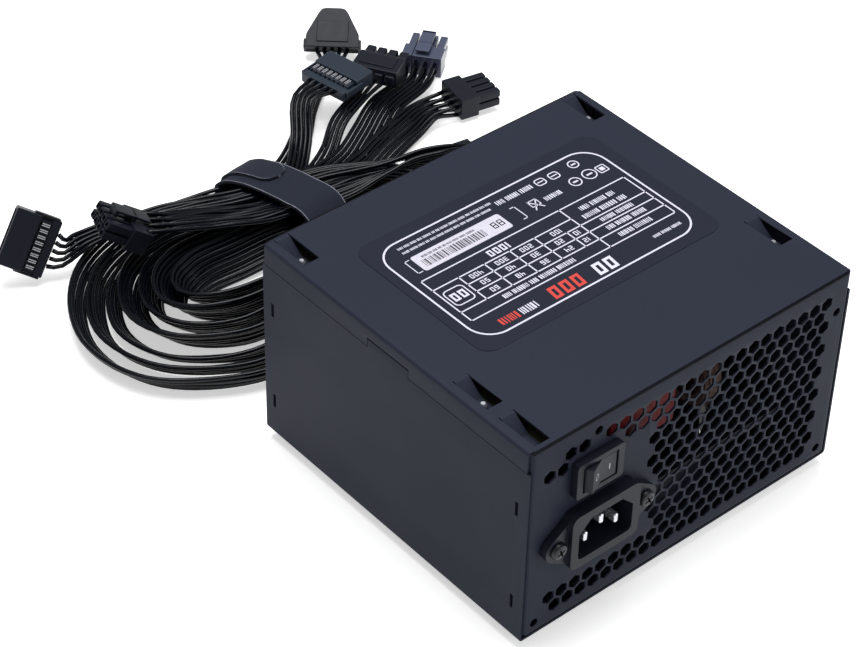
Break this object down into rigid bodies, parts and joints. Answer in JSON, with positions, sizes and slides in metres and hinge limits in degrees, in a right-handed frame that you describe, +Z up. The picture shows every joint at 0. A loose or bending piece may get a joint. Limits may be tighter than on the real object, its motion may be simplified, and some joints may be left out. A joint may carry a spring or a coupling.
{
  "type": "power supply unit",
  "caption": "Computer power supply: folded steel box with honeycomb rear panel, mains inlet, rocker switch, fan on its underside and a strapped bundle of flat leads with plugs.",
  "frame": {"origin": "middle of the footprint without the leads (from the switch rocker's face to the cable grommet's lip), on the surface that the fan guard stands on", "axes": "-Y out of the rear panel with the inlet and switch, +Y out of the cable outlet, +Z up through the plain top plate, +X to the right seen from the inlet side"},
  "size_m": [0.2454, 0.3427, 0.0902],
  "materials": {
    "powder_coat": "matte bluish-black powder coat",
    "black_plastic": "fine-grained black moulding",
    "lead_jacket": "semi-gloss black insulation in flat ribbons",
    "strap_cloth": "woven hook-and-loop strap",
    "bright_steel": "bright plated",
    "black_steel": "black-zinc plated",
    "aluminium": "extruded",
    "board": "laminate",
    "red_case": "moulded capacitor case",
    "sleeve": "shrunk sleeve",
    "core": "taped winding",
    "copper": "enamelled wire",
    "fish_paper": "insulation sheet",
    "label": "printed film"
  },
  "bodies": {
    "housing": {"board_screw_1": "bright_steel", "board_screw_2": "bright_steel", "board_screw_3": "bright_steel", "board_screw_4": "bright_steel", "bulk_capacitor_1": "sleeve", "bulk_capacitor_2": "sleeve", "cable_grommet": "black_plastic", "cable_strap": "strap_cloth", "chassis": "powder_coat", "cover": "powder_coat", "cover_screw_1": "black_steel", "cover_screw_2": "black_steel", "cover_screw_3": "black_steel", "cover_screw_4": "black_steel", "cpu_lead": "lead_jacket", "cpu_plug": "black_plastic", "drive_lead_1": "lead_jacket", "drive_lead_2": "lead_jacket", "drive_lead_3": "lead_jacket", "drive_plug_1": "black_plastic", "drive_plug_2": "black_plastic", "drive_plug_3": "black_plastic", "fan_frame": "black_plastic", "fan_guard": "black_steel", "fan_screw_1": "black_steel", "fan_screw_2": "black_steel", "fan_screw_3": "black_steel", "fan_screw_4": "black_steel", "filter_capacitor": "red_case", "filter_choke": "copper", "graphics_lead_1": "lead_jacket", "graphics_lead_2": "lead_jacket", "graphics_plug_1": "black_plastic", "graphics_plug_2": "black_plastic", "inlet_body": "black_plastic", "inlet_pin_earth": "bright_steel", "inlet_pin_live": "bright_steel", "inlet_pin_neutral": "bright_steel", "inlet_screw_1": "black_steel", "inlet_screw_2": "black_steel", "insulation_sheet": "fish_paper", "main_board": "board", "main_transformer": "core", "mainboard_lead_a": "lead_jacket", "mainboard_lead_b": "lead_jacket", "mainboard_plug": "black_plastic", "mains_leads": "sleeve", "output_capacitor_1": "sleeve", "output_capacitor_2": "sleeve", "output_choke": "copper", "output_loom": "lead_jacket", "peripheral_lead": "lead_jacket", "peripheral_plug": "black_plastic", "primary_heatsink": "aluminium", "rating_label": "label", "secondary_heatsink": "aluminium", "standby_transformer": "core", "switch_body": "black_plastic"},
    "rocker": {"switch_rocker": "black_plastic"},
    "rotor": {"fan_rotor": "black_plastic"}
  },
  "joints": [
    {"name": "switch_rocker", "type": "hinge", "parent": "housing", "child": "rocker", "pos_m": [-0.046, -0.06896, 0.0687], "axis": [0, 0, -1], "range_deg": [0, 24]},
    {"name": "fan_rotor", "type": "hinge", "parent": "housing", "child": "rotor", "pos_m": [0, 0.00204, 0.0176], "axis": [0, 0, 1], "continuous": true}
  ]
}
